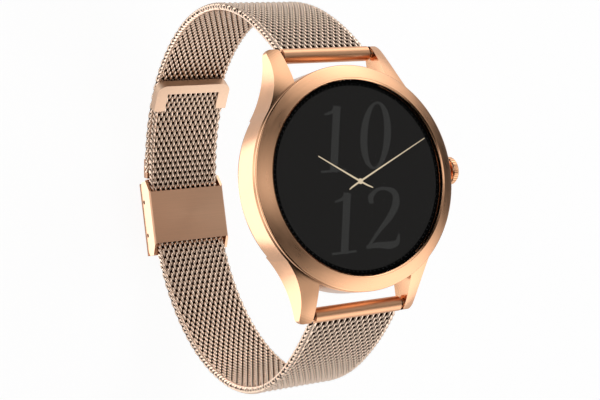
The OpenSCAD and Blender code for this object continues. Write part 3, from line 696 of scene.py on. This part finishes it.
def digit_one(foot_mid, y_low, y_high):
    """Slanted serif 1: stem, flag and foot."""
    top = foot_mid + SLANT * (y_high - y_low)
    stem = [(foot_mid, y_low), ((foot_mid + top) / 2, (y_low + y_high) / 2), (top, y_high)]
    flag = [(top + 0.3, y_high - 0.1), (top - 1.2, y_high - 1.0), (top - 2.7, y_high - 1.35)]
    foot = [(foot_mid + x, y_low + SERIF_LIFT) for x in (-SERIF_HALF, 0.0, SERIF_HALF)]
    return merged([
        ribbon(stem, STEM_WIDTHS),
        ribbon(flag, FLAG_WIDTHS),
        ribbon(foot, [SERIF_W] * 3),
    ])


def digit_zero(mid, half_w, half_h):
    """Slanted 0 with heavy sides and hairlines at top and bottom."""
    n = ZERO_SEGMENTS
    verts = []
    for a, b in ((half_w, half_h), (half_w - ZERO_SIDE, half_h - ZERO_HAIRLINE)):
        for i in range(n):
            t = FULL_TURN * i / n
            x, y = a * math.cos(t), b * math.sin(t)
            verts.append((mid[0] + x + SLANT * y, mid[1] + y))
    return verts, [(i, (i + 1) % n, n + (i + 1) % n, n + i) for i in range(n)]


def digit_two(left, low, width, height):
    """Slanted serif 2: bowl, diagonal hairline and heavy foot, in shares of its box."""
    def at(u, v):
        return left + u * width + SLANT * (v - 0.5) * height, low + v * height

    bowl = [at(0.16, 0.76), at(0.13, 0.87), at(0.3, 0.97), at(0.55, 0.985), at(0.84, 0.9),
            at(0.9, 0.72), at(0.74, 0.52), at(0.42, 0.3), at(0.12, 0.07)]
    foot = [at(0.06, 0.06), at(0.4, 0.075), at(0.75, 0.05), at(0.98, 0.08), at(1.04, 0.22)]
    return merged([ribbon(bowl, BOWL_WIDTHS), ribbon(foot, FOOT_WIDTHS)])


def make_display():
    """Pixels of the display: dark face and border, numerals, minute marks and hands."""
    light = {part: lit(f"display_{part}", color) for part, color in DISPLAY_COLORS.items()}
    flat_disc("display_face", DIAL, FACE_R, FACE_SEGMENTS, layer=0, material="display")
    flat_ring("display_border", BORDER_R, FACE_R, layer=1, material=light["border"])
    numbers = {
        "ten": [
            digit_one(foot_mid=-4.9, y_low=1.3, y_high=12.7),
            digit_zero(mid=(4.6, 7.15), half_w=3.2, half_h=5.95),
        ],
        "twelve": [
            digit_one(foot_mid=-4.8, y_low=-12.9, y_high=-2.5),
            digit_two(left=0.3, low=-12.9, width=6.9, height=10.7),
        ],
    }
    for name, digits in numbers.items():
        flat_piece(f"display_{name}", *merged(digits), layer=1, material=light["numeral"])
    rays = [np.array(point) for point in circle(DIAL, 1, TICKS)]
    ticks = [ribbon([ray * r for r in TICK_SPAN], [TICK_W] * 2, steps=2) for ray in rays]
    flat_piece("display_minutes", *merged(ticks), layer=2, material=light["tick"])
    hands = [ribbon(*hand, steps=4) for hand in (LONG_HAND, SHORT_HAND)]
    flat_piece("display_hands", *merged(hands), layer=3, material=light["hand"])
    flat_disc("display_hub", HUB, HUB_R, HUB_SEGMENTS, layer=4, material=light["hand"])


# Bezel, in millimetres

BEZEL_SEGMENTS = 240
GLASS_PLAY = 0.02
BEZEL_BORE_R = GLASS_R + GLASS_PLAY
CHAMFER_W = 0.34
CHAMFER_H = 0.24
CHAMFER_ROUND = 0.05
LIP_ROUND = 0.26
LIP_STEPS = 5
FOOT_ROUND = 0.07
# The slope is satin up to these distances from its two ends; the rest of the ring is polished
SATIN_FROM_CHAMFER = 0.02
SATIN_FROM_LIP = 0.2


def lathe(name, profile, material, body, smooth_angle=30.0):
    """Ring turned from a closed profile of (radius, height) points round the dial's axis."""
    n = len(profile)
    verts, faces = [], []
    for i in range(BEZEL_SEGMENTS):
        a = FULL_TURN * i / BEZEL_SEGMENTS
        verts += [(r * math.cos(a), r * math.sin(a), z) for r, z in profile]
        here, there = i * n, (i + 1) % BEZEL_SEGMENTS * n
        for k in range(n):
            m = (k + 1) % n
            faces.append((here + k, there + k, there + m, here + m))
    return new_object(name, verts, faces, material, body, smooth_angle)


def rounded(corner, before, after, radius, steps=4):
    """Points of a rounded corner between two neighbours of it."""
    c, b, a = (np.array(p, float) for p in (corner, before, after))
    start = c + radius * ((b - c) / np.linalg.norm(b - c))
    end = c + radius * ((a - c) / np.linalg.norm(a - c))
    shares = np.linspace(0, 1, steps + 1)
    return [tuple((1 - t) ** 2 * start + 2 * t * (1 - t) * c + t * t * end) for t in shares]


def make_bezel():
    """Sloped satin ring with polished edges at the glass and at its foot."""
    seat = (BEZEL_BORE_R, GLASS_SEAT_Z)
    chamfer = (BEZEL_BORE_R, BEZEL_TOP_Z - CHAMFER_H)
    slope_start = (BEZEL_BORE_R + CHAMFER_W, BEZEL_TOP_Z)
    slope_end = (CASE_R, BEZEL_EDGE_Z)
    foot = (CASE_R, BEZEL_FOOT_Z)
    spigot = (SPIGOT_R, BEZEL_FOOT_Z)
    profile = [
        seat,
        *rounded(chamfer, seat, slope_start, CHAMFER_ROUND),
        *rounded(slope_start, chamfer, slope_end, CHAMFER_ROUND),
        *rounded(slope_end, slope_start, foot, LIP_ROUND, LIP_STEPS),
        *rounded(foot, slope_end, spigot, FOOT_ROUND),
        spigot,
        (SPIGOT_R, SPIGOT_Z),
        (BEZEL_IN_R, SPIGOT_Z),
        (BEZEL_IN_R, GLASS_SEAT_Z),
    ]
    ring = lathe("bezel_ring", profile[::-1], "rose_turned", "case")
    ring.data.materials.append(MATERIALS["rose_polished"])
    satin_from, satin_to = slope_start[0] + SATIN_FROM_CHAMFER, CASE_R - SATIN_FROM_LIP
    for face in ring.data.polygons:
        r = math.hypot(face.center.x, face.center.y) / MM
        if not satin_from < r < satin_to:
            face.material_index = 1
    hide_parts("bezel")


# Finishes of the frame's own nodes

NODE_FINISH = {s["node"]: s["material_slot"] for s in frame["record"]["subparts"]}
# The clasp's two pins take the seals' black: painted shade standing in for the shade in the
# shallow recesses at their ends
NODE_FINISH.update(catch_pin="seal", lock_pin="seal", tail_tip="rose_blasted",
                   upper_end_tube="rose_drawn", lower_end_tube="rose_drawn")
# Width in millimetres of the round along a node's sharp edges
EDGE_ROUND = {
    "case_middle": 0.2, "clasp_sleeve": 0.12, "clasp_cover": 0.12,
    "tail_tip": 0.1, "crown_knob": 0.06, "back_cover": 0.08,
    "upper_end_tube": 0.1, "lower_end_tube": 0.1, "strap_end_plate": 0.1,
}
EDGE_SEGMENTS = 3
# Angles in degrees: faces that differ by less are one flat, and edges that turn by more are sharp
FLAT_ANGLE = 0.5
SHARP_ANGLE = 32


def finish_nodes():
    """Material and rounded edges of every solid that the frame brings."""
    for name, obj in NODES.items():
        paint(obj, NODE_FINISH[name])
        if name in EDGE_ROUND:
            round_edges(obj, EDGE_ROUND[name])


def round_edges(obj, width):
    """Small round along the sharp edges of a solid."""
    flat = obj.modifiers.new("join_flats", "DECIMATE")
    flat.decimate_type = "DISSOLVE"
    flat.angle_limit = math.radians(FLAT_ANGLE)
    bevel = obj.modifiers.new("edge_round", "BEVEL")
    bevel.limit_method = "ANGLE"
    bevel.angle_limit = math.radians(SHARP_ANGLE)
    bevel.width = width * MM
    bevel.segments = EDGE_SEGMENTS
    normals = obj.modifiers.new("flat_normals", "WEIGHTED_NORMAL")
    normals.keep_sharp = True


# Studio, in metres

FLOOR_HALF = 0.35
FLOOR_DROP = 0.0002
FLOOR_GREY = (0.86, 0.86, 0.86)
# The floor's white glow, and the share of it that each kind of ray sees. The rest of what is seen
# is the plain floor, which keeps the watch's shadow, though faintly.
FLOOR_GLOW = 1.13
FLOOR_SEEN = {"Is Camera Ray": 0.8, "Is Glossy Ray": 0.36, "Is Transmission Ray": 0.8}
# Soft boxes: azimuth, elevation, half width and softness in degrees, and brightness
SOFT_BOXES = {
    "front_low": (52, 7, 4, 28, 1.33),
    "front_high": (70, 22, 14, 15, 1.3),
    "front_middle": (28, 18, 8, 20, 0.15),
    "front_top": (28, 45, 8, 20, 0.46),
    "far_front": (-28, 18, 8, 20, 0.3),
    "back_low": (-53, 9, 15, 27, 1.56),
    "back_middle": (-55, 40, 8, 15, 0.39),
    "back_high": (-86, 31, 15, 6, 0.6),
    "left": (182, 10, 22, 16, 0.74),
    "left_back": (206, 18, 8, 20, 0.35),
    "left_front": (150, 45, 8, 20, 0.2),
    "left_low": (150, 20, 8, 20, 0.8),
    "over_camera": (159, 71, 9, 15, 0.36),
    "ceiling": (7, 66, 7, 13, 0.41),
    "dial_left": (177, 61, 5, 12, 0.3),
    "side": (90, 8, 8, 20, 0.15),
}
# Brightness of the room beside the boxes
ROOM = 0.015
# Key lamp: azimuth and elevation in degrees, distance, size, and power in watts
KEY_AT = (178, 62)
KEY_FAR = 0.9
KEY_SIZE = (0.3, 0.3)
KEY_POWER = 0.12
# Lamps that face up from the floor: X, Y and height over the watch's lowest point, size, and watts
FLOOR_LAMPS = {
    "low_left": ((-0.064, 0.0, 0.002), (0.05, 0.13), 0.034),
    "clasp_strip": ((-0.0122, 0.0003, 0.0003), (0.006, 0.024), 0.0008),
}


def direction(azimuth, elevation):
    """Unit vector from the watch, by degrees round from +X and up from the floor."""
    a, e = math.radians(azimuth), math.radians(elevation)
    return Vector((math.cos(a) * math.cos(e), math.sin(a) * math.cos(e), math.sin(e)))


def seen_share(owner, shares):
    """Socket with the share of the kind of ray that looks, and 0 for other kinds."""
    path = add(owner, "ShaderNodeLightPath")
    total = None
    for kind, share in shares.items():
        part = add(owner, "ShaderNodeMath", operation="MULTIPLY")
        part.inputs[1].default_value = share
        join(owner, path.outputs[kind], part.inputs[0])
        if total is None:
            total = part.outputs[0]
            continue
        both = add(owner, "ShaderNodeMath", operation="MAXIMUM")
        join(owner, total, both.inputs[0])
        join(owner, part.outputs[0], both.inputs[1])
        total = both.outputs[0]
    return total


def make_floor():
    """Pale floor just under the watch, mostly a white glow where it is looked at."""
    z = CAD_BOX[0].z - FLOOR_DROP
    corners = [(x * FLOOR_HALF, y * FLOOR_HALF, z) for x, y in SQUARE]
    mesh = bpy.data.meshes.new("floor")
    mesh.from_pydata(corners, [], [(0, 1, 2, 3)])
    floor = bpy.data.objects.new("floor", mesh)
    bpy.context.scene.collection.objects.link(floor)
    mat, shader = node_material("floor", FLOOR_GREY, roughness=0.9)
    glow = add(mat, "ShaderNodeEmission", in_Strength=FLOOR_GLOW)
    mix = add(mat, "ShaderNodeMixShader")
    join(mat, seen_share(mat, FLOOR_SEEN), mix.inputs["Fac"])
    join(mat, shader.outputs["BSDF"], mix.inputs[1])
    join(mat, glow.outputs["Emission"], mix.inputs[2])
    join(mat, mix.outputs["Shader"], mat.node_tree.nodes["Material Output"].inputs["Surface"])
    floor.data.materials.append(mat)


def make_world():
    """White backdrop for the camera; for the watch, a dim room with soft boxes in it."""
    world = bpy.data.worlds.new("studio")
    bpy.context.scene.world = world
    world.use_nodes = True
    back = world.node_tree.nodes["Background"]
    back.inputs["Color"].default_value = (1, 1, 1, 1)
    coords = add(world, "ShaderNodeTexCoord")
    total = None
    for azimuth, elevation, half, soft, level in SOFT_BOXES.values():
        facing = add(world, "ShaderNodeVectorMath", operation="DOT_PRODUCT")
        facing.inputs[1].default_value = direction(azimuth, elevation)
        join(world, coords.outputs["Generated"], facing.inputs[0])
        edge = [math.cos(math.radians(angle)) for angle in (half + soft, half)]
        box = ranged(world, facing.outputs["Value"], span=edge, to=(0.0, level),
                     interpolation="SMOOTHSTEP")
        plus = add(world, "ShaderNodeMath", operation="ADD")
        plus.inputs[1].default_value = ROOM
        join(world, box, plus.inputs[0])
        if total is not None:
            join(world, total, plus.inputs[1])
        total = plus.outputs[0]
    mix = add(world, "ShaderNodeMix", data_type="FLOAT", in_B=1.0)
    join(world, seen_share(world, {"Is Camera Ray": 1.0}), mix.inputs["Factor"])
    join(world, total, mix.inputs["A"])
    join(world, mix.outputs["Result"], back.inputs["Strength"])


def area_light(name, size, power, location, rotation):
    """Rectangular lamp that the camera doesn't see."""
    lamp = bpy.data.lights.new(name, "AREA")
    lamp.shape = "RECTANGLE"
    lamp.size, lamp.size_y = size
    lamp.energy = power
    obj = bpy.data.objects.new(name, lamp)
    obj.location = location
    obj.rotation_euler = rotation
    obj.visible_camera = False
    bpy.context.scene.collection.objects.link(obj)


def make_lights():
    """Key lamp over the dial, and the lamps on the floor at the left."""
    aim = direction(*KEY_AT)
    area_light("key", KEY_SIZE, KEY_POWER, KEY_FAR * aim, aim.to_track_quat("Z", "Y").to_euler())
    for name, ((x, y, lift), size, power) in FLOOR_LAMPS.items():
        area_light(name, size, power, (x, y, CAD_BOX[0].z + lift), (math.pi, 0, 0))


def make_camera():
    """Camera at the photograph's place."""
    data = bpy.data.cameras.new("camera")
    data.sensor_width = CAMERA_SENSOR
    data.sensor_fit = "HORIZONTAL"
    data.lens = CAMERA_LENS
    data.clip_start = CAMERA_CLIP
    camera = bpy.data.objects.new("camera", data)
    right, up = CAMERA_RIGHT.normalized(), -CAMERA_DOWN.normalized()
    axes = Matrix((right, up, right.cross(up))).transposed()
    camera.matrix_world = Matrix.Translation(CAMERA_AT * MM) @ axes.to_4x4()
    bpy.context.scene.collection.objects.link(camera)
    bpy.context.scene.camera = camera


def main():
    """The whole scene."""
    finish_nodes()
    make_straps()
    make_display()
    make_bezel()
    make_floor()
    make_world()
    make_lights()
    make_camera()
    bpy.context.scene.view_settings.view_transform = "Standard"


main()
